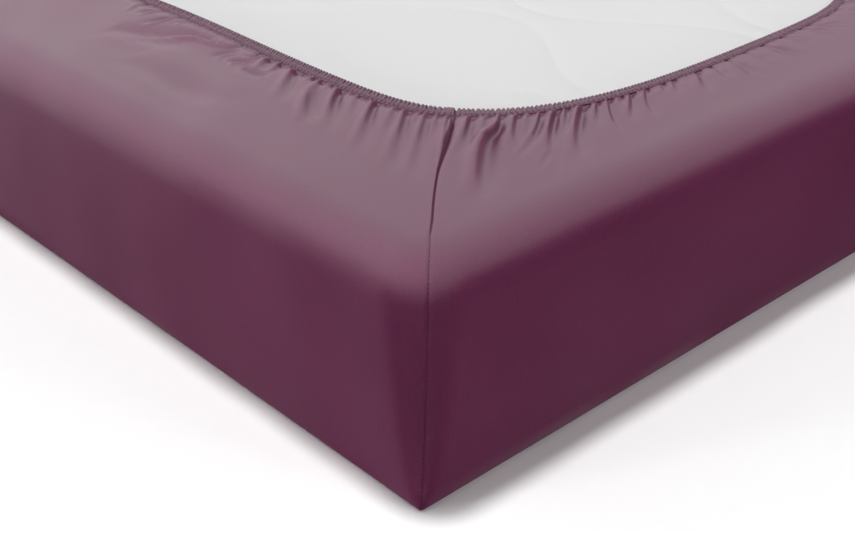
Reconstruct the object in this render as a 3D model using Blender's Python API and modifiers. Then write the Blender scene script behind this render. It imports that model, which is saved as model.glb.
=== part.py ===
"""A fitted sheet drawn over a single mattress that lies face down.

The mouth is on top: the cloth passes under the mattress, up its sides, over a soft
shoulder and back across the underside, where a narrow elastic binding gathers it.
Metres, +Z up, +Y along the mattress. The floor is z = 0, and the origin is the middle
of the footprint. The corner at -X, -Y is the one whose folds are placed one by one.
"""

import math

import bmesh
import bpy
import numpy as np

# ---------------------------------------------------------------- driving dimensions
MATTRESS_WIDTH = 0.900
MATTRESS_LENGTH = 2.000
MATTRESS_HEIGHT = 0.175
MATTRESS_CORNER = 0.045        # plan radius of its corners
MATTRESS_UPPER_EDGE = 0.040    # radius of the edge under the shoulder of the sheet
MATTRESS_LOWER_EDGE = 0.020
MATTRESS_ROUND_STEPS = 4

CLOTH = 0.0015                 # thickness of the cloth
EASE = 0.0008                  # room between the cloth and the mattress

SHOULDER = 0.038               # radius where the cloth turns over the upper edge
FLOOR_EDGE = 0.004             # radius where it turns under at the floor
CORNER_AT_FLOOR = 0.004        # the sewn corner is sharp at the floor
CORNER_AT_SHOULDER = 0.038     # and follows the soft mattress higher up
CORNER_ON_TOP = 0.012

BINDING_WIDTH = 0.010          # the elastic binding, across
BINDING_THICKNESS = 0.0032
BINDING_GAP = 0.0003
BINDING_TILT = (-4.0, 8.0, -2.0, 13.0)      # degrees, free edge up, side by side

# The free edge of the mouth, as distances in from the sheet's outer faces.
# Sides run anticlockwise from the corner at -X, -Y: front, right, back, left.
MOUTH_MID_INSET = (0.113, 0.166, 0.116, 0.176)
# One row per corner, in the same order: in from the long side, in from the short side.
MOUTH_CORNER_INSET = ((0.202, 0.180), (0.187, 0.168), (0.192, 0.180), (0.200, 0.176))
MOUTH_SLOPE = 1.08             # slope of the mouth against the short side at a corner
MOUTH_WAVE = 0.0022            # the mouth wanders by this much along a side
MOUTH_WAVE_LENGTH = 0.620
# The left side swings in beside the corner in view: by how much, at what distance from the
# seam, and over what distance.
MOUTH_SWING = 0.0060
MOUTH_SWING_PLACE = 0.340
MOUTH_SWING_SPREAD = 0.150

GATHER_LIFT = 0.0030           # how far the gathered cloth stands up at the binding
GATHER_FADE = 0.085            # and over what distance it settles again

# Main folds of a corner, out from the seam. Columns: distance of the fold's root from
# the seam along the sheet's outer edge, half width, depth at the binding, reach.
LEFT_FOLDS = (
    (0.008, 0.0030, 0.0000, 0.020),
    (0.020, 0.0045, 0.0016, 0.050),
    (0.037, 0.0060, 0.0024, 0.075),
    (0.062, 0.0075, 0.0012, 0.030),
    (0.090, 0.0080, 0.0027, 0.080),
    (0.126, 0.0085, 0.0020, 0.070),
    (0.160, 0.0085, 0.0028, 0.060),
    (0.205, 0.0090, 0.0018, 0.030),
    (0.255, 0.0100, 0.0022, 0.025),
    (0.320, 0.0110, 0.0014, 0.030),
    (0.400, 0.0130, 0.0020, 0.040),
)
RIGHT_FOLDS = (
    (0.008, 0.0030, 0.0000, 0.020),
    (0.020, 0.0045, 0.0014, 0.045),
    (0.036, 0.0060, 0.0020, 0.060),
    (0.056, 0.0080, 0.0030, 0.125),
    (0.082, 0.0070, 0.0022, 0.070),
    (0.116, 0.0080, 0.0026, 0.085),
    (0.155, 0.0080, 0.0026, 0.075),
    (0.198, 0.0085, 0.0022, 0.055),
    (0.245, 0.0090, 0.0014, 0.035),
    (0.310, 0.0100, 0.0018, 0.030),
    (0.385, 0.0110, 0.0012, 0.035),
)
SEAM_FOLD = (0.0035, 0.0022, 0.070)         # half width, depth, reach of the seam's groove
# Past the last row a long side goes on at this pitch, its folds taking these depths in turn.
PLAIN_PITCH = 0.120
PLAIN_FOLDS = ((0.0012, 0.030), (0.0022, 0.045), (0.0009, 0.025), (0.0018, 0.055))
PLAIN_HALF_WIDTH = 0.012
PUFF = 0.30                    # the cloth beside a fold rises by this share of its depth
SIDE_SWELL = 0.0016            # slow unevenness of the side walls
SIDE_SWELL_LENGTH = 0.410

PLUM = (0.118, 0.034, 0.074, 1.0)
PLUM_BINDING = (0.135, 0.050, 0.092, 1.0)
TICKING_WHITE = (0.770, 0.770, 0.770, 1.0)

# ---------------------------------------------------------------- derived values
HALF_WIDTH = MATTRESS_WIDTH / 2 + EASE + CLOTH
HALF_LENGTH = MATTRESS_LENGTH / 2 + EASE + CLOTH
MATTRESS_BOTTOM = CLOTH + EASE
MATTRESS_TOP = MATTRESS_BOTTOM + MATTRESS_HEIGHT
RETURN_HEIGHT = MATTRESS_TOP + EASE + CLOTH
SIDE_HALF_LENGTH = (HALF_WIDTH, HALF_LENGTH, HALF_WIDTH, HALF_LENGTH)
SIDE_HALF_DEPTH = (HALF_LENGTH, HALF_WIDTH, HALF_LENGTH, HALF_WIDTH)
SIDES = range(4)


# ---------------------------------------------------------------- curves seen from above
def turn_to_side(side, along, across):
    """Side-local distances (along the side, across it with outside negative) to x, y."""
    turns = ((along, across), (-across, along), (-along, -across), (across, -along))
    return np.stack(turns[side], axis=-1)


def rounded_side(side, fraction, inset, radius):
    """Points on one side of a rounded rectangle, from mid corner to mid corner.

    The fraction runs evenly along half a corner arc, the straight, and half the next arc.
    """
    half_length = SIDE_HALF_LENGTH[side] - inset
    half_depth = SIDE_HALF_DEPTH[side] - inset
    half_arc = radius * math.pi / 4
    straight = 2 * (half_length - radius)
    total = straight + 2 * half_arc
    from_end = np.minimum(fraction, 1 - fraction) * total
    angle = math.pi / 4 - np.clip(from_end, 0, half_arc) / radius
    past_arc = np.clip(from_end - half_arc, 0, None)
    along = half_length - radius + radius * np.sin(angle) - past_arc
    across = -half_depth + radius - radius * np.cos(angle)
    return turn_to_side(side, np.where(fraction < 0.5, -along, along), across)


def mouth_side(side, fraction):
    """Points on the mouth's free edge along one side, from seam to seam, and their normals.

    The edge runs at its mid inset, and bends in towards the seams as an exponential whose
    slope at one seam continues the slope of the next side.
    """
    start, end = MOUTH_CORNER_INSET[side], MOUTH_CORNER_INSET[(side + 1) % 4]
    short_side = side % 2 == 0
    inward, sideways = (1, 0) if short_side else (0, 1)
    slope = MOUTH_SLOPE if short_side else 1 / MOUTH_SLOPE
    mid = MOUTH_MID_INSET[side]
    first = -SIDE_HALF_LENGTH[side] + start[sideways]
    last = SIDE_HALF_LENGTH[side] - end[sideways]
    along = np.linspace(first, last, 4001)
    bend_start = (start[inward] - mid) * np.exp(-(along - first) * slope / (start[inward] - mid))
    bend_end = (end[inward] - mid) * np.exp(-(last - along) * slope / (end[inward] - mid))
    window = np.sin(math.pi * (along - first) / (last - first)) ** 2
    wander = MOUTH_WAVE * window * np.sin(2 * math.pi * along / MOUTH_WAVE_LENGTH + side)
    if side == 3:
        aside = (last - along - MOUTH_SWING_PLACE) / MOUTH_SWING_SPREAD
        wander = wander + MOUTH_SWING * np.exp(-(aside ** 2))
    across = -SIDE_HALF_DEPTH[side] + mid + bend_start + bend_end + wander
    step = np.hypot(np.diff(along), np.diff(across))
    length = np.concatenate(([0.0], np.cumsum(step)))
    slope_here = np.gradient(across, along)
    place = fraction * length[-1]
    run = 1 / np.sqrt(1 + np.interp(place, length, slope_here) ** 2)
    rise = np.interp(place, length, slope_here) * run
    points = turn_to_side(side, np.interp(place, length, along), np.interp(place, length, across))
    normals = turn_to_side(side, rise, -run)
    return points, normals


# ---------------------------------------------------------------- the table of folds
def side_folds(side):
    """Every fold of one side as rows of fraction, half width, depth and reach.

    The side starts at its seam, has the corner's folds out from it, the plain pitch in
    the middle of a long side, and the next corner's folds in reverse.
    """
    left_first = side % 2 == 1
    near = LEFT_FOLDS if left_first else RIGHT_FOLDS
    length = 2 * SIDE_HALF_LENGTH[side]
    rows = [(0.0, *SEAM_FOLD)]
    rows += [(row[0] / length, *row[1:]) for row in near]
    gap = length - 2 * near[-1][0]
    plain = max(int(gap / PLAIN_PITCH) - 1, 0)
    for number in range(plain):
        place = near[-1][0] + gap * (number + 1) / (plain + 1)
        depth, reach = PLAIN_FOLDS[(number + side) % len(PLAIN_FOLDS)]
        rows.append((place / length, PLAIN_HALF_WIDTH, depth, reach))
    rows += [(1 - row[0] / length, *row[1:]) for row in reversed(near)]
    return rows


def fold_columns(side):
    """Three columns for each fold: its two shoulders and, between them, its trough."""
    rows = np.array(side_folds(side))
    length = 2 * SIDE_HALF_LENGTH[side]
    half = rows[:, 1] / length
    fraction = np.stack((rows[:, 0] - half, rows[:, 0], rows[:, 0] + half), axis=1)
    dip = np.stack((PUFF * rows[:, 2], -rows[:, 2], PUFF * rows[:, 2]), axis=1)
    reach = np.repeat(rows[:, 3:4], 3, axis=1)
    return fraction.ravel(), dip.ravel(), reach.ravel()


def around(evaluate):
    """Join what is evaluated for the four sides' columns into one ring."""
    return np.concatenate([evaluate(side) for side in SIDES])


def seam_safe(side, fraction, evaluate):
    """Evaluate a side's curve, taking fractions below zero from the end of the side before."""
    before = (side - 1) % 4
    shift = fraction * SIDE_HALF_LENGTH[side] / SIDE_HALF_LENGTH[before] + 1
    own = evaluate(side, np.clip(fraction, 0, 1))
    other = evaluate(before, np.clip(shift, 0, 1))
    return np.where((fraction < 0)[:, None], other, own)


def outline_ring(inset, radius, every):
    """A ring of the sheet's outline at an inset, through every n-th fold column."""

    def one_side(side):
        fraction = fold_columns(side)[0]
        evaluate = lambda which, place: rounded_side(which, place, inset, radius)
        ring = seam_safe(side, fraction, evaluate)
        return ring if every == 1 else ring[1::every]

    return around(one_side)


def mouth_ring(offset):
    """The mouth's ring moved out by an offset, one for all columns or one each."""

    def one_side(side, index):
        fraction = fold_columns(side)[0]
        return seam_safe(side, fraction, lambda which, place: mouth_side(which, place)[index])

    points = around(lambda side: one_side(side, 0))
    normals = around(lambda side: one_side(side, 1))
    return points + normals * np.broadcast_to(offset, len(points))[:, None]


def binding_tilt():
    """The binding's tilt at each column: its side's own, blended round the corners."""

    def one_side(side):
        fraction = fold_columns(side)[0]
        before, after = BINDING_TILT[side - 1], BINDING_TILT[(side + 1) % 4]
        near_start = np.exp(-np.clip(fraction, 0, None) * 2 * SIDE_HALF_LENGTH[side] / 0.05)
        near_end = np.exp(-np.clip(1 - fraction, 0, None) * 2 * SIDE_HALF_LENGTH[side] / 0.05)
        own = BINDING_TILT[side]
        return own + (before - own) * near_start / 2 + (after - own) * near_end / 2

    return np.radians(around(one_side))


# ---------------------------------------------------------------- meshes from rings
def join_rings(inner, outer, first_inner, first_outer):
    """Faces between two closed rings, where the outer has as many points or three times more."""
    faces = []
    ratio = outer // inner
    for index in range(inner):
        here = first_inner + index
        following = first_inner + (index + 1) % inner
        if ratio == 1:
            faces.append((here, following, first_outer + (index + 1) % outer, first_outer + index))
            continue
        trough = ratio * index + 1
        fan = [first_outer + (trough + step) % outer for step in range(ratio + 1)]
        faces.append((here, fan[1], fan[0]))
        faces.append((here, following, fan[2], fan[1]))
        faces.append((following, fan[3], fan[2]))
    return faces


def object_from_rings(name, rings, close_first=False, close_round=False):
    """A mesh object lofted through rings of points, each an array of x, y, z."""
    starts = np.concatenate(([0], np.cumsum([len(ring) for ring in rings])))
    faces = []
    pairs = list(zip(range(len(rings)), range(1, len(rings))))
    if close_round:
        pairs.append((len(rings) - 1, 0))
    for low, high in pairs:
        faces += join_rings(len(rings[low]), len(rings[high]), int(starts[low]), int(starts[high]))
    if close_first:
        faces.append(tuple(range(len(rings[0])))[::-1])
    mesh = bpy.data.meshes.new(name)
    mesh.from_pydata(np.concatenate(rings).tolist(), [], faces)
    mesh.validate()
    return bpy.data.objects.new(name, mesh)


def outwards(plan):
    """Unit vectors away from the sheet's middle lines: square to each wall, round at a corner."""
    half = np.array((HALF_WIDTH, HALF_LENGTH)) - MATTRESS_CORNER
    away = plan - np.clip(plan, -half, half)
    return away / np.linalg.norm(away, axis=1, keepdims=True)


def lift_ring(plan, height):
    """Give a ring seen from above its height, one for all or one a column."""
    return np.column_stack((plan, np.broadcast_to(height, len(plan))))


# ---------------------------------------------------------------- the pieces
def wall_rings():
    """The base, the floor edge, the side walls and the shoulder, from the middle out and up."""
    rings = []
    for inset, height in ((0.090, 0.0), (FLOOR_EDGE, 0.0)):
        rings.append(lift_ring(outline_ring(inset, CORNER_AT_FLOOR, 3), height))
    bend = FLOOR_EDGE * (1 - math.sqrt(0.5))
    rings.append(lift_ring(outline_ring(bend, CORNER_AT_FLOOR, 3), bend))
    wall_top = RETURN_HEIGHT - SHOULDER
    for share in (0.0, 0.35, 0.70):
        height = FLOOR_EDGE + share * (wall_top - FLOOR_EDGE)
        radius = CORNER_AT_FLOOR + math.sqrt(share) * (CORNER_AT_SHOULDER - CORNER_AT_FLOOR)
        plan = outline_ring(0.0, radius, 3)
        wave = 0.5 + 0.5 * np.sin(2 * math.pi * (plan[:, 0] - plan[:, 1]) / SIDE_SWELL_LENGTH)
        swell = SIDE_SWELL * math.sin(math.pi * share) * wave
        rings.append(lift_ring(plan + outwards(plan) * swell[:, None], height))
    for degrees in (0.0, 30.0, 60.0, 90.0):
        angle = math.radians(degrees)
        inset = SHOULDER * (1 - math.cos(angle))
        height = wall_top + SHOULDER * math.sin(angle)
        radius = CORNER_AT_SHOULDER + (CORNER_ON_TOP - CORNER_AT_SHOULDER) * inset / SHOULDER
        rings.append(lift_ring(outline_ring(inset, radius, 3), height))
    return rings


def return_rings():
    """The cloth turned back over the underside, from the shoulder to the binding.

    Every fold's trough is deepest at the binding and fades over its reach; the cloth as a
    whole stands up at the binding, so that no trough goes into the mattress.
    """
    shoulder = outline_ring(SHOULDER, CORNER_ON_TOP, 1)
    edge = mouth_ring(BINDING_WIDTH + BINDING_GAP)
    dip = around(lambda side: fold_columns(side)[1])
    reach = around(lambda side: fold_columns(side)[2])
    length = np.hypot(*(shoulder - edge).T)
    rings = []
    for share in (0.62, 0.36, 0.17, 0.06, 0.0):
        away = share * length
        lift = GATHER_LIFT * np.clip(1 - away / GATHER_FADE, 0, 1) ** 1.5
        fold = dip * np.clip(1 - away / reach, 0, 1) ** 1.2
        height = RETURN_HEIGHT + np.maximum(lift + fold, 0.0)
        rings.append(lift_ring(edge + (shoulder - edge) * share, height))
    return rings


def make_sheet():
    """The cloth: one open surface, thickened inwards."""
    sheet = object_from_rings("sheet", wall_rings() + return_rings(), close_first=True)
    thicken = sheet.modifiers.new("cloth thickness", "SOLIDIFY")
    thicken.thickness = CLOTH
    thicken.offset = -1.0
    return sheet


def make_binding():
    """The elastic binding: a flat oval carried round the mouth, tilted side by side."""
    tilt = binding_tilt()
    half = BINDING_THICKNESS / 2
    # distance in from the binding's outer edge, height over its middle
    section = ((0.12, 0.9), (0.86, 1.0), (1.0, 0.0), (0.88, -1.0), (0.12, -1.0), (0.0, -0.4))
    low = BINDING_WIDTH * np.clip(-np.sin(tilt), 0, None)
    middle = MATTRESS_TOP + BINDING_GAP + 1.02 * half + low
    rings = []
    for across, up in section:
        plan = mouth_ring(BINDING_WIDTH * (1 - across * np.cos(tilt)))
        height = middle + across * BINDING_WIDTH * np.sin(tilt) + up * half
        rings.append(lift_ring(plan, height))
    return object_from_rings("elastic_edge", rings, close_round=True)


def make_mattress():
    """A box with rounded corners and edges, a little clear of the cloth all round."""
    shape = bmesh.new()
    bmesh.ops.create_cube(shape, size=1.0)
    bmesh.ops.scale(shape, vec=(MATTRESS_WIDTH, MATTRESS_LENGTH, MATTRESS_HEIGHT), verts=shape.verts)
    bmesh.ops.translate(shape, vec=(0, 0, (MATTRESS_BOTTOM + MATTRESS_TOP) / 2), verts=shape.verts)
    upright = [edge for edge in shape.edges if abs(edge.verts[0].co.z - edge.verts[1].co.z) > 0.1]
    rounds = {"segments": MATTRESS_ROUND_STEPS, "profile": 0.5, "affect": "EDGES"}
    bmesh.ops.bevel(shape, geom=upright, offset=MATTRESS_CORNER, **rounds)
    for height, radius in ((MATTRESS_TOP, MATTRESS_UPPER_EDGE), (MATTRESS_BOTTOM, MATTRESS_LOWER_EDGE)):
        rim = [edge for edge in shape.edges if all(abs(v.co.z - height) < 1e-5 for v in edge.verts)]
        bmesh.ops.bevel(shape, geom=rim, offset=radius, **rounds)
    mesh = bpy.data.meshes.new("mattress")
    shape.to_mesh(mesh)
    shape.free()
    return bpy.data.objects.new("mattress", mesh)


def give_material(piece, colour, roughness, sheen):
    """One Principled material for a piece."""
    material = bpy.data.materials.new(piece.name + " finish")
    material.use_nodes = True
    shader = material.node_tree.nodes["Principled BSDF"]
    shader.inputs["Base Color"].default_value = colour
    shader.inputs["Roughness"].default_value = roughness
    shader.inputs["Metallic"].default_value = 0.0
    shader.inputs["Sheen Weight"].default_value = sheen
    material.diffuse_color = colour
    piece.data.materials.append(material)


def main():
    """Clear the scene and build the three pieces."""
    for old in list(bpy.data.objects):
        bpy.data.objects.remove(old, do_unlink=True)
    collection = bpy.data.collections.new("fitted_sheet_on_mattress")
    bpy.context.scene.collection.children.link(collection)
    finishes = (
        (make_mattress(), TICKING_WHITE, 0.80, 0.0),
        (make_sheet(), PLUM, 0.45, 0.5),
        (make_binding(), PLUM_BINDING, 0.60, 0.3),
    )
    for piece, colour, roughness, sheen in finishes:
        collection.objects.link(piece)
        give_material(piece, colour, roughness, sheen)
        piece.data.shade_smooth()


main()
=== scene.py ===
"""Looks of a plum satin fitted sheet on a single mattress that lies face down.

The camera looks down on the corner at -X, -Y, whose folds are placed one by one. Metres,
but for values whose names end in MM. Sides run anticlockwise from that corner: 0 front,
1 right, 2 back, 3 left. "Along" is the distance along the mouth from a corner's seam,
positive anticlockwise. "Away" is the distance from the elastic binding, outwards.
"""

import math

import bpy
import numpy as np
from mathutils import Matrix, Vector


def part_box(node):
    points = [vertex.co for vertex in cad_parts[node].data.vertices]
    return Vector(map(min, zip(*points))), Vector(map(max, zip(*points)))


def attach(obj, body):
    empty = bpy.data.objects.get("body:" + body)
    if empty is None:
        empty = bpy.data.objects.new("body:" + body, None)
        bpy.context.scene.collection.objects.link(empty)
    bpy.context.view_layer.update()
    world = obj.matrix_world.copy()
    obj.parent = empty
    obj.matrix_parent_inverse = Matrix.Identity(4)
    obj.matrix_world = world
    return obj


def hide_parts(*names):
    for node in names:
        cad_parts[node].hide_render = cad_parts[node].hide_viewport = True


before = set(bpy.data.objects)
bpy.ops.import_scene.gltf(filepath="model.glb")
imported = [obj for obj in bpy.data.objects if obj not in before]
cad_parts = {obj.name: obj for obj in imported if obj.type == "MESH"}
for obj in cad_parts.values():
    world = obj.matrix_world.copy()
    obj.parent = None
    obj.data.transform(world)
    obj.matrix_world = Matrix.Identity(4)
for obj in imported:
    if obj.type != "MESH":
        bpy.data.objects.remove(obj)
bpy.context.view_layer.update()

MATTRESS_LOW, MATTRESS_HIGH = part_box("mattress")
TAU = 2 * math.pi
MM = 0.001

# ---------------------------------------------------------------- the sheet's own sizes
CLOTH = 1.0 * MM
CLEAR = 2.3 * MM  # from the mattress to the outer face of the cloth
HALF_WIDTH = MATTRESS_HIGH.x + CLEAR
HALF_LENGTH = MATTRESS_HIGH.y + CLEAR
RETURN_HEIGHT = MATTRESS_HIGH.z + CLEAR
SHOULDER = 0.038  # radius where the cloth turns over the upper edge
FLOOR_EDGE = 0.0025
CORNER_AT_FLOOR = 0.0025
CORNER_AT_SHOULDER = 0.038
CORNER_ON_TOP = 0.012
NORMALS_TURN = 0.045  # this near a corner the normals turn from one wall's to the next's
SIDES = range(4)
SIDE_HALF_LENGTH = (HALF_WIDTH, HALF_LENGTH, HALF_WIDTH, HALF_LENGTH)
SIDE_HALF_DEPTH = (HALF_LENGTH, HALF_WIDTH, HALF_LENGTH, HALF_WIDTH)

# The mouth's free edge, in from the sheet's outer faces: each side's middle, then one row
# per corner, in from the long side and in from the short side.
MOUTH_MID_INSET = (0.113, 0.166, 0.116, 0.176)
MOUTH_CORNER_INSET = ((0.202, 0.180), (0.187, 0.168), (0.192, 0.180), (0.200, 0.176))
MOUTH_SLOPE = 1.08  # of the front's and the back's edge where it reaches a seam
BINDING_WIDTH = 0.010
BINDING_TILT = (-4.0, 8.0, -2.0, 13.0)  # degrees, free edge up, side by side
MOUTH_WAVE = 0.0022
MOUTH_WAVE_LENGTH = 0.620
MOUTH_SWING = 0.0060  # the left side swings in beside the corner in view,
MOUTH_SWING_PLACE = 0.340  # at this distance from the seam
MOUTH_SWING_SPREAD = 0.150

# ---------------------------------------------------------------- folds, placed one by one
# Folds rooted just under the binding, for the corner in view. In millimetres: the root's
# along; the bend's and the end's along and away; depth; half width of the steep wall at the
# root and at the end.
ROOT_AWAY_MM = -1  # every root's away
ROOTED_FOLDS_MM = (
    # right of the seam
    (13, 12.5, 35, 9.5, 75, 5.4, 1.4, 3.3),
    (26.5, 25.5, 15, 26.5, 41, 2.4, 1.3, 2.2),
    (49.5, 49, 32, 51.5, 79, 4.4, 1.5, 3.1),
    (59.5, 58.5, 32, 59.5, 62, 2.2, 1.7, 3.3),
    (68, 66.5, 36, 50.5, 89, 3.8, 1.3, 1.8),
    (82, 78.5, 42, 79, 93, 6, 1.5, 3.1),
    (90, 90, 28, 88, 58, 3.2, 1.3, 2.4),
    (105.5, 101, 36, 102.5, 109, 6.6, 1.8, 3.7),
    (119, 118, 21, 115.5, 54, 3.3, 1.2, 2.9),
    (130, 130, 28, 137, 74, 3.9, 1.4, 1.9),
    (142.5, 140.5, 15, 139, 22, 2.4, 1.2, 1.8),
    (153, 150, 26, 144.5, 56, 3.8, 1.4, 2.4),
    (170.5, 165, 34, 167.5, 60, 2.8, 1.4, 2.6),
    (189, 185.5, 16, 184.5, 25, 2.2, 1.3, 2.2),
    (202, 197, 18, 192.5, 32, 2.4, 1.5, 2.6),
    (232, 223.5, 24, 214.5, 45, 3.2, 1.9, 3.7),
    (249.5, 247.5, 17, 246.5, 29, 2.2, 1.5, 2.6),
    (272.5, 268.5, 23, 264, 45, 2.9, 1.8, 3.5),
    (298.5, 297.5, 16, 296.5, 30, 2.2, 1.7, 2.9),
    (326, 321.5, 22, 316.5, 50, 2.9, 1.9, 3.7),
    (357, 354.5, 16, 353, 32, 2.2, 1.7, 2.9),
    (389, 384, 20, 379.5, 41, 2.7, 1.8, 3.5),
    # left of the seam
    (-3.5, -3.5, 33, -2.5, 73, 3.5, 1.2, 1.3),
    (-12, -12, 29, -12.5, 53, 2.6, 1.3, 2.2),
    (-21, -22, 46, -22, 124, 3.9, 1.7, 3.5),
    (-27, -28, 18, -29.5, 37, 1.8, 1.2, 2.2),
    (-38.5, -39.5, 46, -42, 120, 4.6, 1.7, 4),
    (-48, -50.5, 31, -54, 61, 2.1, 1.5, 3.1),
    (-60, -60, 12, -60, 24, 1.2, 1.3, 2.2),
    (-68.5, -72, 42, -73.5, 106, 5.1, 1.5, 4),
    (-82, -82, 10, -83.5, 23, 1.2, 1.3, 2.2),
    (-88, -88.5, 18, -88, 49, 2.1, 1.5, 3.1),
    (-96.5, -96.5, 10, -98, 22, 1.4, 1.3, 2.2),
    (-109, -111.5, 26, -104.5, 87, 5.9, 1.6, 4),
    (-122, -122.5, 10, -124, 24, 1.7, 1.3, 2.2),
    (-136, -135, 12, -137, 28, 3.8, 1.3, 2.2),
    (-145, -145.5, 10, -149, 22, 3.4, 1.3, 1.9),
    (-160, -159, 8, -159.5, 18, 2.5, 1.2, 1.8),
    (-169.5, -169.5, 22, -165.5, 73, 5.4, 1.9, 4.6),
    (-179, -180.5, 8, -183, 16, 1.6, 1.2, 2),
    (-191.5, -190.5, 13, -194.5, 33, 4, 1.3, 2.4),
    (-206, -208, 15, -208, 38, 4.7, 1.5, 3.1),
    (-220, -222.5, 16, -241, 24, 4.7, 1.5, 2),
    (-332.5, -342, 11, -348, 23, 3.2, 1.3, 2),
    (-351.5, -364, 19, -384, 45, 4, 1.6, 2.9),
    (-375, -386.5, 10, -401.5, 34, 4, 1.5, 2.9),
)
# Drag lines in the open cloth of the same corner: along and away of the start, the bend and
# the end; depth at the middle, negative for a ridge; half width at the start and the end.
OPEN_FOLDS_MM = (
    (-138, 20, -138, 48, -130.5, 87, 5.6, 3, 3.8),
    (79.5, 76, 83.5, 99, 85, 121, 1.2, 2, 3),
    (79.5, 76, 75.5, 90, 72, 103, 1.1, 1.4, 1.8),
    (-195, 43, -209, 46, -229.5, 50, 4.2, 1.8, 2.4),
    (-219, 32, -231, 35, -247.5, 46, 3.9, 1.7, 2.2),
    (-243, 23, -257.5, 33, -266, 50, 2.8, 2, 2.6),
    (-222.5, 117, -278.5, 104, -343.5, 95, -3.5, 11, 13),
    (-231, 133, -291, 125, -348.5, 115, 3.6, 9, 12),
    (-298.5, 59, -348.5, 69, -408, 84, 2.8, 6, 9),
)
# The largest folds, point by point: along, away, depth, half width of the steep wall.
LARGE_FOLDS_MM = (
    (
        (36, -1, 3.5, 1.4),
        (36.5, 22, 5.4, 1.6),
        (35, 32, 7.6, 2),
        (30.5, 42, 9.2, 2.6),
        (28, 52, 10, 3.4),
        (27.5, 67, 9.9, 3.8),
        (27.5, 87, 8.2, 4.1),
        (28, 107, 6, 4.2),
        (28.5, 125, 3.4, 4.4),
        (29, 143, 1, 5),
        (29.5, 159, 0, 5.2),
    ),
    (
        (-249, -1, 4.1, 1.4),
        (-254, 11, 5.4, 1.7),
        (-261.5, 18, 6.5, 2),
        (-272.5, 22, 6.9, 2.4),
        (-286, 24, 7.8, 3),
        (-299, 24, 8.6, 3.8),
        (-315, 30, 8.2, 4.6),
        (-331, 39, 7.3, 5.4),
        (-348, 49, 6.5, 6),
        (-370, 61, 5.1, 6.6),
        (-403, 76, 0, 7),
    ),
)
PLACED_RANGE_MM = (-405, 405)  # along, from the first of these tables' folds to the last

# Past that range the folds are drawn by chance. Beside a seam, and far from one:
ROOT_PITCH_MM = (13.0, 27.0)
FOLD_REACH_MM = (78.0, 34.0)
FOLD_DEPTH_MM = (3.2, 2.2)
CORNER_REACH = 0.150  # over this distance from a seam the one becomes the other
FOLD_SEED = 7
# Each varies between these shares of it:
REACH_VARIES = (0.35, 1.25)
DEPTH_VARIES = (0.45, 1.35)
PITCH_VARIES = (0.55, 1.45)
LEAN_VARIES = (-0.05, 0.30)  # towards the seam, in reaches
BEND_VARIES = (-0.3, 0.6)  # how much of the lean is done at the bend,
BEND_AT = 0.45  # which lies at this share of the reach
FOLD_WIDTH_MM = (1.3, 2.1)
FOLD_WIDENS = 1.6  # from root to end

# A fold's section, in half widths of its steep wall: where each slope starts and is full,
# starts to fade and is gone.
STEEP_WALL = (-1.35, -0.85, -0.30, 1.40)
CREST_RISE = (-3.8, -2.6, -2.4, -1.2)  # up to the crest beside the steep wall
GENTLE_WALL = (0.6, 1.8, 1.8, 5.8)  # up again on the other side
CREST_SHARE = 0.30  # of the depth stands above the cloth, as the crest

# ---------------------------------------------------------------- numbers of faces
NEAR_RANGE = (-0.43, 0.43)  # along the mouth, where the columns are closest
NEAR_FADE = 0.10  # over this distance past it they spread out
NEAR_SPACING = 1.0 * MM
FAR_SPACING = 4.6 * MM
SEAM_SPACING = 0.09 * MM
SPACING_GROWTH = 0.12  # columns spread out from a seam by this share
COARSE_STEP = 8  # the hidden inner face has one column in eight
FINE_REACH = 0.046
FINE_ROWS = 21
FINE_POWER = 1.5  # they spread out as this power of their number
SIDE_SAMPLES = 8001  # of curves that are measured, not built
COLUMN_SAMPLES = 6001
MOUTH_SAMPLES = 16001
RIB_SAMPLES = 20001


# ================================================================ small sums
def ease(x):
    """Smooth step from 0 to 1 as x does."""
    x = np.clip(x, 0, 1)
    return x * x * (3 - 2 * x)


def bell(x):
    """1 at 0, and falling off to both sides as the exponential of the square."""
    return np.exp(-(x ** 2))


def running(steps):
    """The running sum of steps, from 0."""
    return np.concatenate(([0.0], np.cumsum(steps)))


def lengths_along(path):
    """The length of a path up to each of its points."""
    return running(np.linalg.norm(np.diff(path, axis=0), axis=1))


def rows_at(place, places, rows):
    """Rows of a table whose places are given, read off between them at others."""
    return np.stack([np.interp(place, places, column) for column in np.transpose(rows)], axis=-1)


def unit(vectors):
    """Vectors scaled to length 1."""
    return vectors / np.maximum(np.linalg.norm(vectors, axis=-1, keepdims=True), 1e-9)


def wrapped(distance, total):
    """A distance round a closed edge, signed, by the shorter way."""
    return (distance + total / 2) % total - total / 2


# ================================================================ curves seen from above
def turn_to_side(side, along, across):
    """Side-local distances (along the side, across it with outside negative) to x, y."""
    turns = ((along, across), (-across, along), (-along, -across), (across, -along))
    return np.stack(turns[side], axis=-1)


def rounded_side(side, fraction, inset, radius):
    """One side of a rounded rectangle, evenly by length from mid corner to mid corner."""
    half_length = SIDE_HALF_LENGTH[side] - inset
    half_depth = SIDE_HALF_DEPTH[side] - inset
    half_arc = radius * math.pi / 4
    total = 2 * (half_length - radius) + 2 * half_arc
    from_end = np.minimum(fraction, 1 - fraction) * total
    angle = math.pi / 4 - np.clip(from_end, 0, half_arc) / radius
    past_arc = np.clip(from_end - half_arc, 0, None)
    along = half_length - radius + radius * np.sin(angle) - past_arc
    across = -half_depth + radius - radius * np.cos(angle)
    return turn_to_side(side, np.where(fraction < 0.5, -along, along), across)


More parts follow.
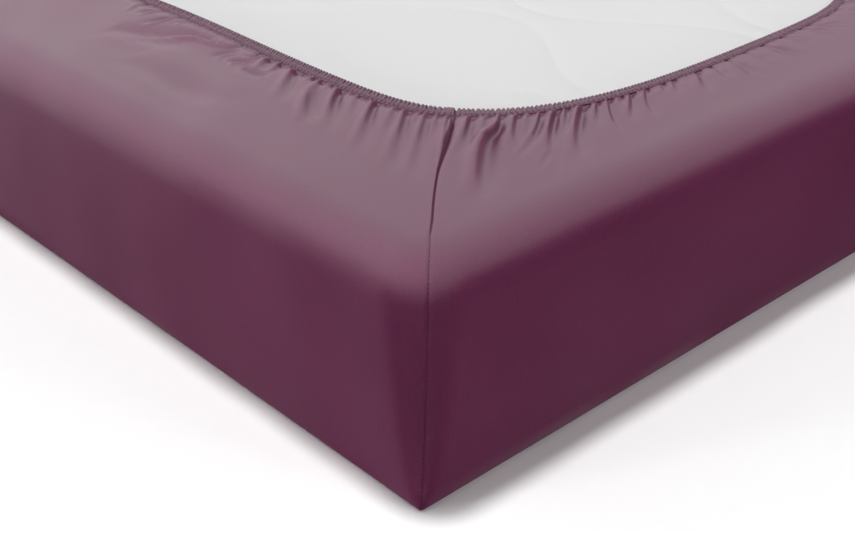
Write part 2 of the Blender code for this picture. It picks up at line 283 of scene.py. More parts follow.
def mouth_curve(side):
    """The free edge along one side: lengths so far, and rows of along, across and slope.

    It runs at the side's mid inset, with a slow wander, and bends in towards each seam as
    an exponential whose slope there continues the slope of the next side.
    """
    start, end = MOUTH_CORNER_INSET[side], MOUTH_CORNER_INSET[(side + 1) % 4]
    inward, sideways = (1, 0) if side % 2 == 0 else (0, 1)
    slope = MOUTH_SLOPE if side % 2 == 0 else 1 / MOUTH_SLOPE
    mid = MOUTH_MID_INSET[side]
    first = -SIDE_HALF_LENGTH[side] + start[sideways]
    last = SIDE_HALF_LENGTH[side] - end[sideways]
    along = np.linspace(first, last, SIDE_SAMPLES)
    bends = 0
    for corner, gap in ((start, along - first), (end, last - along)):
        more = corner[inward] - mid
        bends = bends + more * np.exp(-gap * slope / more)
    window = np.sin(math.pi * (along - first) / (last - first)) ** 2
    wander = MOUTH_WAVE * window * np.sin(TAU * along / MOUTH_WAVE_LENGTH + side)
    if side == 3:
        wander += MOUTH_SWING * bell((last - along - MOUTH_SWING_PLACE) / MOUTH_SWING_SPREAD)
    across = -SIDE_HALF_DEPTH[side] + mid + bends + wander
    length = lengths_along(np.column_stack((along, across)))
    return length, np.column_stack((along, across, np.gradient(across, along)))


MOUTH = [mouth_curve(side) for side in SIDES]
MOUTH_LENGTH = np.array([length[-1] for length, rows in MOUTH])
SEAM_PLACES = running(MOUTH_LENGTH)
MOUTH_TOTAL = float(SEAM_PLACES[-1])


def mouth_side(side, fraction):
    """At fractions of one side, points of the free edge and unit normals out of the mouth."""
    length, rows = MOUTH[side]
    along, across, slope = rows_at(fraction * length[-1], length, rows).T
    run = 1 / np.sqrt(1 + slope ** 2)
    return np.hstack((turn_to_side(side, along, across), turn_to_side(side, slope * run, -run)))


def side_and_fraction(place):
    """Split places along the whole mouth into their side and the fraction of that side."""
    place = place % MOUTH_TOTAL
    side = np.clip(np.searchsorted(SEAM_PLACES, place, side="right") - 1, 0, 3)
    return side, (place - SEAM_PLACES[side]) / MOUTH_LENGTH[side]


def by_side(place, width, curve, *settings):
    """A side's curve, of a number of columns, at places along the whole mouth."""
    which, fraction = side_and_fraction(place)
    result = np.zeros((len(place), width))
    for side in SIDES:
        here = which == side
        result[here] = curve(side, fraction[here], *settings)
    return result


def mouth_points(place, out=0.0):
    """The free edge at places along the mouth, moved out by a distance for each."""
    found = by_side(place, 4, mouth_side)
    return found[:, :2] + found[:, 2:] * np.broadcast_to(out, len(place))[:, None]


def outline_points(place, inset, radius):
    """The sheet's outline at an inset, at the columns that start at places along the mouth."""
    return by_side(place, 2, rounded_side, inset, radius)


def outwards(plan):
    """Unit vectors away from the middle: square to each wall, and round at a corner."""
    half = np.array((HALF_WIDTH, HALF_LENGTH)) - NORMALS_TURN
    return unit(plan - np.clip(plan, -half, half))


# ================================================================ meshes from rings
def stitch(first_wide, wide, first_narrow, narrow):
    """Triangles between a ring and one with a whole share of its points.

    Each stretch of the narrow ring takes a fan of the wide ring's points from each end.
    """
    ratio = wide // narrow
    here = np.arange(narrow)
    low = first_narrow + here
    high = first_narrow + (here + 1) % narrow
    parts = []
    for step in range(ratio):
        apex = low if step < (ratio + 1) // 2 else high
        left = first_wide + (here * ratio + step) % wide
        right = first_wide + (here * ratio + step + 1) % wide
        parts.append(np.stack((apex, right, left), axis=1))
    middle = first_wide + (here * ratio + (ratio + 1) // 2) % wide
    parts.append(np.stack((low, high, middle), axis=1))
    return np.concatenate(parts)


def loft(counts, close=True):
    """Triangles through a list of rings, given how many points each has."""
    starts = running(counts).astype(int)
    pairs = list(zip(range(len(counts) - 1), range(1, len(counts))))
    if close:
        pairs.append((len(counts) - 1, 0))
    faces = []
    for upper, lower in pairs:
        if counts[upper] >= counts[lower]:
            faces.append(stitch(starts[upper], counts[upper], starts[lower], counts[lower]))
        else:
            turned = stitch(starts[lower], counts[lower], starts[upper], counts[upper])
            faces.append(turned[:, ::-1])
    return np.concatenate(faces)


def cap(first, count, pole):
    """A fan from a ring to one point."""
    here = np.arange(count)
    return np.stack((first + here, first + (here + 1) % count, np.full(count, pole)), axis=1)


def mesh_object(name, points, triangles, material, uv=None, period=None, painted_shade=None):
    """A smooth mesh object from arrays. A u that wraps round is carried past its period."""
    mesh = bpy.data.meshes.new(name)
    mesh.vertices.add(len(points))
    mesh.vertices.foreach_set("co", np.asarray(points, np.float32).ravel())
    mesh.loops.add(3 * len(triangles))
    mesh.loops.foreach_set("vertex_index", triangles.astype(np.int32).ravel())
    mesh.polygons.add(len(triangles))
    mesh.polygons.foreach_set("loop_start", np.arange(0, 3 * len(triangles), 3, dtype=np.int32))
    mesh.update(calc_edges=True)
    mesh.validate()
    if uv is not None:
        corners = uv[triangles].copy()
        if period is not None:
            u = corners[:, :, 0]
            u[u.max(axis=1, keepdims=True) - u > period / 2] += period
        layer = mesh.uv_layers.new(name="cloth")
        layer.data.foreach_set("uv", corners.astype(np.float32).ravel())
    # Painted shade at each point, which the binding's material mixes into its colour
    if painted_shade is not None:
        mesh.attributes.new("painted_shade", "FLOAT", "POINT").data.foreach_set("value", painted_shade)
    mesh.shade_smooth()
    mesh.materials.append(material)
    piece = bpy.data.objects.new(name, mesh)
    bpy.context.scene.collection.objects.link(piece)
    return piece


# ================================================================ places on the cloth
# Dense places along the mouth, and the length of the binding's outer edge up to each.
DENSE_PLACE = np.linspace(0, MOUTH_TOTAL, MOUTH_SAMPLES)
DENSE_EDGE = lengths_along(mouth_points(DENSE_PLACE, BINDING_WIDTH))
EDGE_TOTAL = float(DENSE_EDGE[-1])
SEAM_EDGES = np.interp(SEAM_PLACES[:4], DENSE_PLACE, DENSE_EDGE)


def edge_of(place):
    """The length of the binding's outer edge up to places along the mouth."""
    return np.interp(place, DENSE_PLACE, DENSE_EDGE)


def place_of(edge):
    """The place along the mouth for lengths along the binding's outer edge."""
    return np.interp(edge % EDGE_TOTAL, DENSE_EDGE, DENSE_PLACE)


def seam_gap(edge):
    """The signed distance to the nearest seam along the binding's outer edge."""
    gaps = wrapped(edge[:, None] - SEAM_EDGES, EDGE_TOTAL)
    return gaps[np.arange(len(edge)), np.abs(gaps).argmin(axis=1)]


def return_plan(place, away):
    """Points of the turned back cloth, some way out from the binding, and the way there is."""
    edge = mouth_points(place, BINDING_WIDTH)
    reach = outline_points(place, SHOULDER, CORNER_ON_TOP) - edge
    room = np.linalg.norm(reach, axis=1)
    return edge + reach * (away / room)[:, None], room


def cloth_columns():
    """Places of the finest columns: closest at the seams, and close near the corner in view."""
    places = []
    for side in SIDES:
        dense = np.linspace(SEAM_PLACES[side], SEAM_PLACES[side + 1], COLUMN_SAMPLES)
        to_seam = np.minimum(dense - dense[0], dense[-1] - dense)
        seen = wrapped(dense, MOUTH_TOTAL)
        past = np.maximum(seen - NEAR_RANGE[1], NEAR_RANGE[0] - seen)
        widest = NEAR_SPACING + (FAR_SPACING - NEAR_SPACING) * ease(past / NEAR_FADE)
        spacing = np.minimum(SEAM_SPACING + SPACING_GROWTH * to_seam, widest)
        so_far = running(np.diff(dense) / spacing[1:])
        count = 2 * COARSE_STEP * round(so_far[-1] / (2 * COARSE_STEP))
        places.append(np.interp(np.arange(count) / count * so_far[-1], so_far, dense))
    return np.concatenate(places)


# ================================================================ folds
FOLD_POINTS = 9
FADE_POWERS = (2.4, 1.3)
OPEN_POWER = 0.8


def placed_fold(seam, row, fade):
    """A fold's path, depths and half widths at its points, from a row in millimetres.

    The path, seen from above, is the parabola through three points of the cloth, each
    along and away from a seam. The depth fades by the share of the way, the width evenly.
    """
    start, bend, end = np.reshape(row[:6], (3, 2)) * MM
    middle = math.dist(start, bend) / (math.dist(start, bend) + math.dist(bend, end))
    share = np.linspace(0, 1, FOLD_POINTS)
    along, away = (
        np.outer(start, (share - middle) * (share - 1) / middle)
        + np.outer(bend, share * (share - 1) / (middle * (middle - 1)))
        + np.outer(end, share * (share - middle) / (1 - middle))
    )
    path = return_plan(place_of(SEAM_EDGES[seam] + along), away)[0]
    depth, root_width, end_width = row[6:]
    return path, depth * MM * fade(share), MM * (root_width + (end_width - root_width) * share)


def from_root(share):
    """Full depth near the root, fading to nothing at the end: a power of 1 less a power."""
    return (1 - share ** FADE_POWERS[0]) ** FADE_POWERS[1]


def in_the_open(share):
    """Nothing at both ends, deepest in the middle: a power of a sine."""
    return np.sin(math.pi * share) ** OPEN_POWER


def large_fold(seam, rows):
    """A fold given point by point."""
    along, away, depth, width = np.transpose(rows) * MM
    path = return_plan(place_of(SEAM_EDGES[seam] + along), away)[0]
    return path, depth, width


def unplaced_folds():
    """Folds for the stretches past the tables' range, seeded, closer beside the seams."""
    chance = np.random.default_rng(FOLD_SEED)
    folds = []
    edge = SEAM_EDGES[0] + PLACED_RANGE_MM[1] * MM
    last = EDGE_TOTAL + PLACED_RANGE_MM[0] * MM
    while edge < last:
        gaps = wrapped(edge - SEAM_EDGES, EDGE_TOTAL)
        seam = int(np.abs(gaps).argmin())
        along = gaps[seam]
        far = float(ease(abs(along) / CORNER_REACH))
        pitch, reach, depth = (
            pair[0] + (pair[1] - pair[0]) * far
            for pair in (ROOT_PITCH_MM, FOLD_REACH_MM, FOLD_DEPTH_MM)
        )
        reach *= chance.uniform(*REACH_VARIES)
        depth *= chance.uniform(*DEPTH_VARIES)
        lean = -np.sign(along) * reach * chance.uniform(*LEAN_VARIES)
        root = along / MM
        bend = root + lean * chance.uniform(*BEND_VARIES)
        width = chance.uniform(*FOLD_WIDTH_MM)
        path = (root, ROOT_AWAY_MM, bend, reach * BEND_AT, root + lean, reach)
        folds.append(placed_fold(seam, (*path, depth, width, width * FOLD_WIDENS), from_root))
        edge += pitch * MM * chance.uniform(*PITCH_VARIES)
    return folds


FOLDS = [placed_fold(0, (row[0], ROOT_AWAY_MM, *row[1:]), from_root) for row in ROOTED_FOLDS_MM]
FOLDS += [placed_fold(0, row, in_the_open) for row in OPEN_FOLDS_MM]
FOLDS += [large_fold(0, rows) for rows in LARGE_FOLDS_MM]
FOLDS += unplaced_folds()


def section_table():
    """Heights over a fold of depth 1, by distance from its steep wall's middle in half widths.

    They are the running sum of a slope: down over the steep wall, and up before and after
    it, each a smooth step in and a smooth step out, scaled to the drop it has to make.
    """
    across = np.linspace(-4, 6, 1001)
    slope = np.zeros_like(across)
    steps = ((STEEP_WALL, -1), (CREST_RISE, CREST_SHARE), (GENTLE_WALL, 1 - CREST_SHARE))
    for (start, full, fading, end), rise in steps:
        part = ease((across - start) / (full - start))
        part = part * (1 - ease((across - fading) / (end - fading)))
        slope += rise * part / part.sum()
    return across, np.cumsum(slope)


SECTION = section_table()


def fold_section(across):
    """Height over a fold of depth 1 by signed distance, steep on the negative side."""
    return np.interp(across, *SECTION)


def fold_relief(plan):
    """The sum of all folds' sections at points seen from above, by distance to each path."""
    relief = np.zeros(len(plan))
    for path, depth, width in FOLDS:
        margin = SECTION[0][-1] * width.max()
        steep_side = 1 if path[-1, 1] < path[0, 1] else -1
        inside = (plan > path.min(axis=0) - margin) & (plan < path.max(axis=0) + margin)
        near = np.flatnonzero(inside.all(axis=1))
        run = np.diff(path, axis=0)
        offset = plan[near, None] - path[:-1]
        share = np.clip((offset * run).sum(axis=-1) / (run ** 2).sum(axis=-1), 0, 1)
        aside = offset - share[..., None] * run
        distance = np.linalg.norm(aside, axis=-1)
        turn = run[:, 0] * aside[..., 1] - run[:, 1] * aside[..., 0]
        nearest = distance.argmin(axis=1)
        rows = np.arange(len(near))
        at = nearest + share[rows, nearest]
        nodes = np.arange(len(path))
        across = steep_side * distance[rows, nearest] * np.sign(turn[rows, nearest])
        section = fold_section(across / np.interp(at, nodes, width))
        relief[near] += np.interp(at, nodes, depth) * section
    return relief


def waves(a, b, lengths, seed):
    """Smooth unevenness between about -1 and 1: sines of seeded directions and phases."""
    chance = np.random.default_rng(seed)
    total = np.zeros_like(a)
    for length in lengths:
        turn, phase = chance.uniform(0, math.pi), chance.uniform(0, TAU)
        total += np.sin(TAU * (a * math.cos(turn) + b * math.sin(turn)) / length + phase)
    return total / math.sqrt(len(lengths))


# ================================================================ the sheet
LIFT_AT_BINDING = -0.4 * MM  # the cloth leaves the binding low, so that it all shows,
LIFT = (2.6 * MM, 4.2 * MM)  # bulges by this much, far from a seam and beside one,
LIFT_SPREAD = 0.110
LIFT_RISE = 0.018  # within this distance,
LIFT_LENGTH = 0.105  # and settles over this one
LIFT_POWER = 1.5
SINK = 4.6 * MM  # how far the folds press into the soft mattress
FOLD_LIMIT = (1.8 * MM, 8.0 * MM)  # no fold is deeper, at the binding and away from it
FOLD_OPENS = 0.010  # within this distance
FOLD_FADE = 0.040  # from the shoulder
LOWEST_AT_BINDING = -1.4 * MM  # the cloth comes no lower than this,
LOWEST_FALLS = 4.0 * MM  # and no lower than this much more
LOWEST_REACH = 0.007  # from this distance on
LOWEST_SOFTNESS = 0.3 * MM
WALL_TOP = RETURN_HEIGHT - SHOULDER
SHOULDER_SOFTNESS = 0.55  # 0 is an arc, 1 has no bend at all at its ends
BASE_REACH = 0.300
BASE_FADE = 0.8  # the relief is gone after this much turn under the floor's edge
WAVE_DEPTH = 0.6 * MM
WAVE_LENGTHS = (0.37, 0.23, 0.16, 0.11, 0.083)
WAVE_RISE = 0.030
WAVE_SEED = 11


def shoulder_profile():
    """The bend over the upper edge: shares of it, rows of turn, way out and drop, its length.

    The turn grows as the share less a part of the sine over the whole bend, and the path
    is the running sum of its cosine and sine, scaled to the shoulder's size.
    """
    share = np.linspace(0, 1, 401)
    turn = math.pi / 2 * (share - SHOULDER_SOFTNESS * np.sin(TAU * share) / TAU)
    middle = (turn[1:] + turn[:-1]) / 2
    path = np.column_stack((running(np.cos(middle)), running(np.sin(middle))))
    size = SHOULDER / path[-1, 0]
    return share, np.column_stack((turn, path * size)), len(middle) * size


BEND_SHARE, BEND, BEND_LENGTH = shoulder_profile()


def join(plan, height):
    """Points seen from above and their heights as x, y, z."""
    return np.column_stack((plan, np.broadcast_to(height, len(plan))))


def wall_radius(level):
    """The corner's radius on the wall, sharp at the floor; level is 0 there and 1 on top."""
    return CORNER_AT_FLOOR + math.sqrt(level) * (CORNER_AT_SHOULDER - CORNER_AT_FLOOR)


def smooth_row(place, zone, share):
    """One row of the smooth cloth: points, slant of the normal from upright, distance away.

    The zones run from the binding out, over the shoulder, down the wall and under. The
    share is the distance away in metres in the zone "hem", and elsewhere 0 to 1.
    """
    room = return_plan(place, np.zeros(len(place)))[1]
    if zone in ("hem", "return"):
        first, last = (0.0, 1.0) if zone == "hem" else (FINE_REACH, room)
        away = first + share * (last - first) + np.zeros(len(place))
        return join(return_plan(place, away)[0], RETURN_HEIGHT), 0.0, away
    if zone == "shoulder":
        turn, out, drop = rows_at(share, BEND_SHARE, BEND)
        inset = SHOULDER - out
        radius = CORNER_AT_SHOULDER + (CORNER_ON_TOP - CORNER_AT_SHOULDER) * inset / SHOULDER
        plan = outline_points(place, inset, radius)
        return join(plan, RETURN_HEIGHT - drop), turn, room + BEND_LENGTH * share
    away = room + BEND_LENGTH
    if zone == "wall":
        fall = share * (WALL_TOP - FLOOR_EDGE)
        plan = outline_points(place, 0.0, wall_radius(1 - share))
        return join(plan, WALL_TOP - fall), math.pi / 2, away + fall
    away = away + WALL_TOP - FLOOR_EDGE
    if zone == "floor edge":
        turn = math.pi / 2 * share
        plan = outline_points(place, FLOOR_EDGE * (1 - math.cos(turn)), CORNER_AT_FLOOR)
        height = FLOOR_EDGE * (1 - math.sin(turn))
        return join(plan, height), math.pi / 2 + turn, away + FLOOR_EDGE * turn
    reach = share * BASE_REACH
    plan = outline_points(place, FLOOR_EDGE + reach, CORNER_AT_FLOOR)
    return join(plan, 0.0), math.pi, away + reach


# The corner seams, by distance from the binding: half width of the steep wall beside the
# seam, its drop, and the depth of the narrow groove at its foot.
SEAM_SECTION_MM = (
    (0, 1.2, 2.2, 0.6),
    (20, 1.3, 4.2, 0.8),
    (54, 1.5, 4.4, 0.9),
    (84, 0.8, 2.3, 1.0),
    (114, 0.4, 1.0, 1.1),
    (154, 0.4, 0.6, 1.2),
    (209, 0.5, 0.5, 0.8),
    (290, 0.6, 0.5, 0.3),
    (459, 0.6, 0.4, 0.3),
)
SEAM_GROOVE_WIDTH = 0.70 * MM
SEAM_GROOVE_POWER = 1.5
SEAM_LINING = 1.5 * MM  # the inner face keeps this far below the seams' grooves,
SEAM_LINING_WIDTH = 0.004
LINING_RISES = 0.6  # and the folds over the first of the turned back part, by this share
SEAM_PUCKER = 0.15 * MM
SEAM_PUCKER_LENGTHS = (0.0105, 0.0167)
SEAM_PUCKER_SPREAD = 0.006
RIB_PUCKER = 0.55 * MM  # the finest gathers, at the binding
RIB_PUCKER_LENGTHS = (0.0047, 0.0311)
RIB_PUCKER_FADE = 0.007


def seam_relief(aside, away):
    """A fold's section with a narrow groove at its foot, and fine puckers across the seam.

    The panel on the negative side stands higher and drops steeply to the seam, and the
    other rises gently from it. The groove is an exponential, the puckers sums of sines.
    """
    table = np.array(SEAM_SECTION_MM) * MM
    wall, drop, groove = rows_at(away, table[:, 0], table[:, 1:]).T
    step = drop * fold_section(aside / wall + 1)
    narrow = groove * np.exp(-np.abs(aside / SEAM_GROOVE_WIDTH) ** SEAM_GROOVE_POWER)
    pucker = sum(np.sin(TAU * away / length + length) for length in SEAM_PUCKER_LENGTHS)
    return step - narrow + SEAM_PUCKER * pucker * np.exp(-np.abs(aside) / SEAM_PUCKER_SPREAD)


# The seams bend: distance from the binding, and how far each seam lies from the straight
# line to the corner, positive anticlockwise.
SEAM_BEND_MM = (
    (0, 0.2), (9, 0.5), (24, 1.0), (49, 0.3), (79, -0.8), (105, -1.5), (129, -0.7),
    (151, 0.3), (181, 1.9), (209, 2.7), (249, 2.6), (309, 1.9), (419, 0.0),
)
SEAM_BEND_SPREAD = 0.020  # how far beside a seam the cloth's columns bend with it


def bent(place, zone, share):
    """Places along the mouth moved with the bent seams, less with distance, as a bell."""
    on_floor = zone in ("floor edge", "base")
    away = 1.0 if on_floor else smooth_row(SEAM_PLACES[:1], zone, share)[2]
    shift = MM * np.interp(away / MM, *np.transpose(SEAM_BEND_MM))
    return (place + shift * bell(seam_gap(edge_of(place)) / SEAM_BEND_SPREAD)) % MOUTH_TOTAL


def slow_relief(edge, away):
    """The cloth's slow unevenness, none at the binding."""
    return WAVE_DEPTH * waves(edge, away, WAVE_LENGTHS, WAVE_SEED) * ease(away / WAVE_RISE)


def gathered(plan, edge, away, to_seam):
    """Relief of the turned back cloth: its lift at the binding, the fine gathers and folds.

    The lift is a step up and a power down again, the gathers are sines that fade, and a
    fold's trough is limited by a hyperbolic tangent.
    """
    height = LIFT[0] + (LIFT[1] - LIFT[0]) * bell(to_seam / LIFT_SPREAD)
    lift = LIFT_AT_BINDING + (height - LIFT_AT_BINDING) * ease(away / LIFT_RISE)
    lift = lift * np.clip(1 - away / LIFT_LENGTH, 0, 1) ** LIFT_POWER
    rib, group = (TAU * edge / length for length in RIB_PUCKER_LENGTHS)
    pucker = RIB_PUCKER * np.sin(rib) * np.sin(group + 1) ** 2 * np.exp(-away / RIB_PUCKER_FADE)
    folds = fold_relief(plan)
    opened = ease(away / FOLD_OPENS)
    limit = FOLD_LIMIT[0] + (FOLD_LIMIT[1] - FOLD_LIMIT[0]) * opened
    return lift + pucker + np.where(folds > 0, folds * opened, limit * np.tanh(folds / limit))


def cloth_row(place, zone, share):
    """One row of the finished outer face: points, normals, and u, v in metres of cloth.

    The smooth row moves along its normals by slow waves, the seam's relief and, on the
    turned back part, the gathers, held above the mattress by the logarithm of a sum of
    exponentials.
    """
    place = place.astype(float)
    edge = edge_of(place)
    both = bent(np.concatenate((place, SEAM_PLACES[:4])), zone, share)
    points, slant, away = smooth_row(both, zone, share)
    seams, points, away = points[-4:], points[:-4], away[:-4]
    room = return_plan(both, np.zeros(len(both)))[1][:-4]
    plan = points[:, :2]
    normals = join(outwards(plan) * math.sin(slant), math.cos(slant))
    to_seam = np.linalg.norm(points[:, None] - seams, axis=2).min(axis=1)
    to_seam = to_seam * np.sign(seam_gap(edge) + 1e-9)
    relief = slow_relief(edge, away) + seam_relief(to_seam, away)
    if zone in ("hem", "return"):
        relief = relief + gathered(plan, edge, away, to_seam) * ease((room - away) / FOLD_FADE)
        lowest = LOWEST_AT_BINDING - LOWEST_FALLS * ease(away / LOWEST_REACH)
        over = np.logaddexp(0, (relief - lowest) / LOWEST_SOFTNESS)
        relief = lowest + LOWEST_SOFTNESS * over
    if zone in ("floor edge", "base"):
        relief = np.minimum(relief, 0) * (1 - ease((slant - math.pi / 2) / BASE_FADE))
    return points + normals * relief[:, None], normals, np.column_stack((edge, away))


HEM_START = -0.0015  # the outer face starts this far in under the binding
RETURN_ROWS = 14
SHOULDER_ROWS = 14
WALL_ROWS = 12
FLOOR_EDGE_ROWS = 3
BASE_SHARES = (0.10, 0.5, 1.0)
LINING_HEM = (0.020, 0.0)
MIDDLE_AWAY = 0.2  # the sleeping face's middle is this much further than its last row


def sheet_rows():
    """The outer face's rows as zone, share and the step between columns."""
    near = FINE_REACH * (np.arange(FINE_ROWS + 1) / FINE_ROWS) ** FINE_POWER
    zones = (
        ("hem", (HEM_START, *near), 1),
        ("return", np.arange(1, RETURN_ROWS) / RETURN_ROWS, 2),
        ("shoulder", np.arange(SHOULDER_ROWS + 1) / SHOULDER_ROWS, 4),
        ("wall", np.arange(1, WALL_ROWS + 1) / WALL_ROWS, 4),
        ("floor edge", np.arange(1, FLOOR_EDGE_ROWS + 1) / FLOOR_EDGE_ROWS, 4),
        ("base", BASE_SHARES, COARSE_STEP),
    )
    return [(zone, float(share), step) for zone, shares, step in zones for share in shares]


def lining_row(place, zone, share):
    """One row of the inner face and its u, v: the smooth row, set back and below the folds."""
    row, slant, away = smooth_row(bent(place, zone, share), zone, share)
    edge = edge_of(place)
    rising = float(ease((share - LINING_RISES) / (1 - LINING_RISES)))
    sink = SINK * {"hem": 1.0, "return": 1 - rising}.get(zone, 0.0)
    relief = -CLOTH - sink - SEAM_LINING * bell(seam_gap(edge) / SEAM_LINING_WIDTH)
    if zone not in ("floor edge", "base"):
        relief = relief + slow_relief(edge, away)
    normals = join(outwards(row[:, :2]) * math.sin(slant), math.cos(slant))
    return row + normals * relief[:, None], np.column_stack((edge, away))


def make_sheet(material):
    """One closed thin shell: the finished outer face, and a smooth inner face behind it."""
    columns = cloth_columns()
    coarse = columns[::COARSE_STEP]
    outer = [cloth_row(columns[::step], zone, share)[::2] for zone, share, step in sheet_rows()]
    inner = [row[:2] for row in sheet_rows() if row[0] != "hem"][::-1]
    inner += [("hem", share) for share in LINING_HEM]
    inner = [lining_row(coarse, zone, share) for zone, share in inner]
    middle_uv = [(0.0, outer[-1][1][0, 1] + MIDDLE_AWAY)]
    poles = [([(0.0, 0.0, height)], middle_uv) for height in (0.0, CLOTH)]
    counts = [len(row[0]) for row in outer]
    inner_counts = [len(coarse)] * len(inner)
    pole = sum(counts)
    first = pole + 2
    last = first + len(coarse) * (len(inner) - 1)
    triangles = np.concatenate((
        loft(counts, close=False),
        cap(pole - counts[-1], counts[-1], pole)[:, ::-1],
        cap(first, len(coarse), pole + 1),
        loft(inner_counts, close=False) + first,
        stitch(0, counts[0], last, len(coarse))[:, ::-1],
    ))
    points, uv = map(np.concatenate, zip(*outer, *poles, *inner))
    return mesh_object("fitted_sheet", points, triangles, material, uv, EDGE_TOTAL)


# ================================================================ the binding
BINDING_HALF = 1.6 * MM  # half its thickness
BINDING_CLEAR = 0.332 * MM  # over the mattress
BINDING_MIDDLE = MATTRESS_HIGH.z + BINDING_CLEAR + BINDING_HALF
# Section, from the outer edge's underside round the top: share in from the outer edge,
# height in half thicknesses, depth of the valleys between ribs in millimetres.
BINDING_SECTION = (
    (-0.04, -1.00, 0.00),
    (0.02, 0.15, 0.60),
    (0.11, 0.10, 0.65),
    (0.20, 0.45, 0.70),
    (0.34, 0.66, 0.70),
    (0.50, 0.70, 0.80),
    (0.60, 0.80, 1.30),
    (0.70, 1.10, 2.00),
    (0.80, 1.30, 2.20),
    (0.90, 1.20, 2.20),
    (0.97, 0.78, 1.70),
    (1.00, 0.00, 0.90),
    (0.98, -0.62, 0.20),
    (0.80, -0.92, 0.00),
    (0.18, -0.92, 0.00),
)
# The ribs' pitch, by distance along the binding from the seam of the corner in view.
RIB_PITCH_MM = ((0, 4.1), (90, 4.1), (150, 3.8), (420, 3.8), (520, 4.8))
RIB_COLUMNS = 6
RIB_JITTER = 0.14
RIB_SEED = 5
RIB_SLANT_MM = (0.8, 0.6, 1.0, 1.2)  # how much further along a rib ends at the free edge
SIDE_BLEND = 0.05  # beside a seam the sides' slants and tilts blend
VALLEY_SIZES = (1.25, 0.80)  # deep and shallow valleys take turns
VALLEY_VARIES = (0.75, 1.25)
VALLEY_SHARPNESS = 0.8
# Painted shade: the binding's colour darkens in its rib valleys, by their depth, where shade falls
VALLEY_PAINTED_SHADE = 1.4
VALLEY_SHADE_POWER = 0.6
FULL_SHADE_DEPTH_MM = 1.2  # a valley of this depth gets the full painted shade
TOP_FROM = -0.4  # heights, in half thicknesses, where the visible top starts
TOP_FULL = 0.2  # and is full
SCALLOP = 0.25 * MM  # the free edge draws in at each valley,
SCALLOP_FROM = 0.85  # from this share in
JOIN_MM = (-10.0, -1.6)  # the binding's own join beside each seam, smooth and a little thicker
JOIN_SMOOTH = 0.8
JOIN_RISE = 0.22 * MM
NOTCH_DEPTH = 1.5 * MM  # the binding is nipped in at each seam
NOTCH_WIDTH = 0.9 * MM
CRIMP_PITCH = 2.3 * MM  # finer ribs on the flat half, between these shares in,
CRIMP_SPREAD = (0.16, 0.62)
CRIMP_FADES = (0.125, 0.25)  # past the first and before the second they fade over these
CRIMP_WANDER = (2.5, 0.031)  # their phase wanders, by so much over this length
CRIMP_DEPTH = 0.55 * MM
# painted shade in the fine ribs' valleys
CRIMP_PAINTED_SHADE = 0.6
CRIMP_FLATTENS = 0.6  # and leave this share less of the large ribs
STITCH_ROW = 0.11  # share in from the outer edge, where it is sewn down
STITCH_SPREAD = 0.05
STITCH_PITCH = 4.5 * MM
STITCH_DIMPLE = 1.00 * MM
STITCH_SHARPNESS = 2.5
# painted shade in the stitch dimples
STITCH_PAINTED_SHADE = 1.3


def rib_columns():
    """Lengths along the binding's outer edge of its columns, and each one's share of its rib."""
    dense = np.linspace(0, EDGE_TOTAL, RIB_SAMPLES)
    distance = np.minimum(dense, EDGE_TOTAL - dense)
    pitch = MM * np.interp(distance / MM, *np.transpose(RIB_PITCH_MM))
    so_far = running(np.diff(dense) / pitch[1:])
    ribs = 2 * int(so_far[-1] / 2)
    chance = np.random.default_rng(RIB_SEED)
    starts = np.arange(ribs) + chance.uniform(-RIB_JITTER, RIB_JITTER, ribs)
    starts = np.append(starts, starts[0] + ribs)
    share = np.arange(RIB_COLUMNS) / RIB_COLUMNS
    phase = starts[:-1, None] + share * np.diff(starts)[:, None]
    size = np.resize(VALLEY_SIZES, ribs) * chance.uniform(*VALLEY_VARIES, ribs)
    nearest = np.where(share < 0.5, size[:, None], np.roll(size, -1)[:, None])
    edge = np.interp(phase.ravel() % ribs * so_far[-1] / ribs, so_far, dense)
    return edge, np.tile(share, ribs), nearest.ravel()


def blended(edge, values):
    """One of four values by the side of the binding, and the mean of two sides' at a seam."""
    side, fraction = side_and_fraction(place_of(edge))
    length = MOUTH_LENGTH[side]
    start = np.exp(-fraction * length / SIDE_BLEND) / 2
    end = np.exp(-(1 - fraction) * length / SIDE_BLEND) / 2
    before, own, after = (np.roll(values, turn)[side] for turn in (1, 0, -1))
    return own + (before - own) * start + (after - own) * end


def binding_point(edge, tilt, across, up):
    """Points of the binding by the share in from its outer edge and a height over its middle."""
    plan = mouth_points(place_of(edge), BINDING_WIDTH * (1 - across * np.cos(tilt)))
    low = BINDING_WIDTH * np.clip(-np.sin(tilt), 0, None)
    return join(plan, BINDING_MIDDLE + low + across * BINDING_WIDTH * np.sin(tilt) + up)


